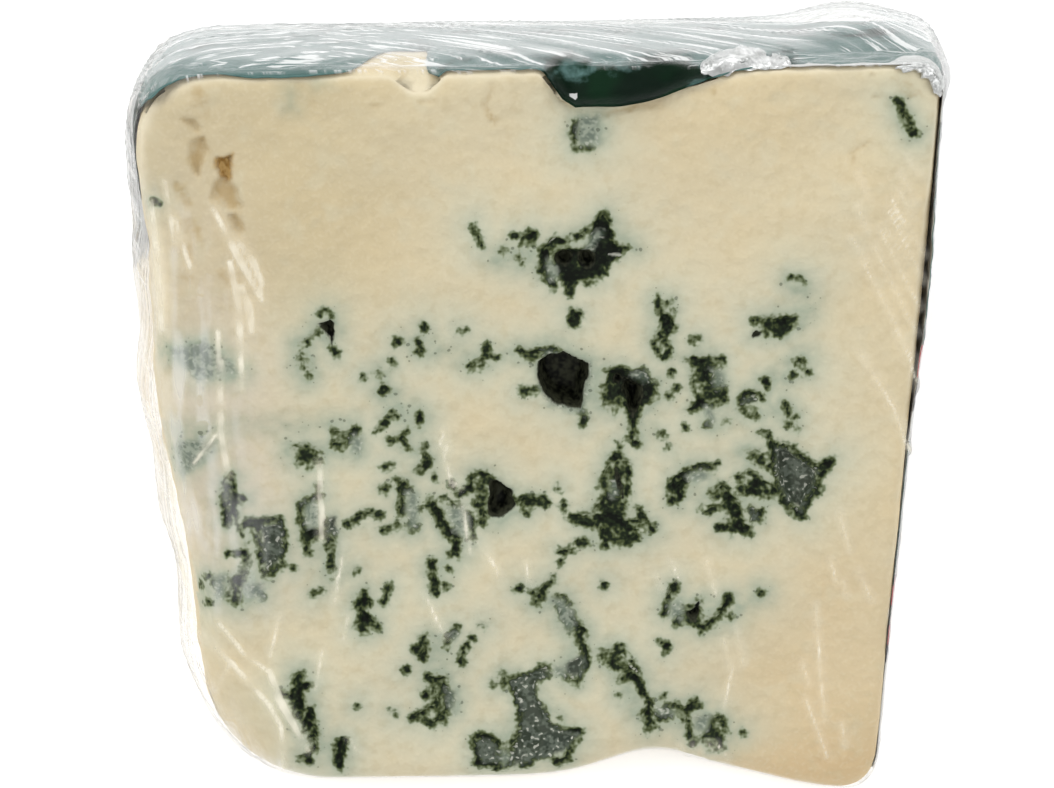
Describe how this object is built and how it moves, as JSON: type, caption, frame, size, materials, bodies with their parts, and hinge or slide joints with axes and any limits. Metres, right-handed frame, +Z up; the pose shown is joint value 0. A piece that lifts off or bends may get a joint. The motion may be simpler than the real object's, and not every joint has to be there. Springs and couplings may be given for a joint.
{
  "type": "roquefort wedge",
  "caption": "Wedge of blue-veined cheese lying on a cut face, its outer side in printed foil, wrapped in clear stretch film.",
  "frame": {"origin": "centre of the footprint, on the surface that the wedge lies on", "axes": "+X across the height of the wheel, from the bare flat to the foil-covered flat; +Y from the thin tip to the rim; +Z up, out of the surface that it lies on"},
  "size_m": [0.1016, 0.1008, 0.0489],
  "materials": {
    "cheese": "moist crumbly paste with blue-green mould veins",
    "foil": "printed dark green outside, bare silver inside",
    "film": "clear glossy stretch film"
  },
  "bodies": {
    "root": {"cheese": "cheese", "foil": "foil", "film": "film"}
  },
  "joints": []
}
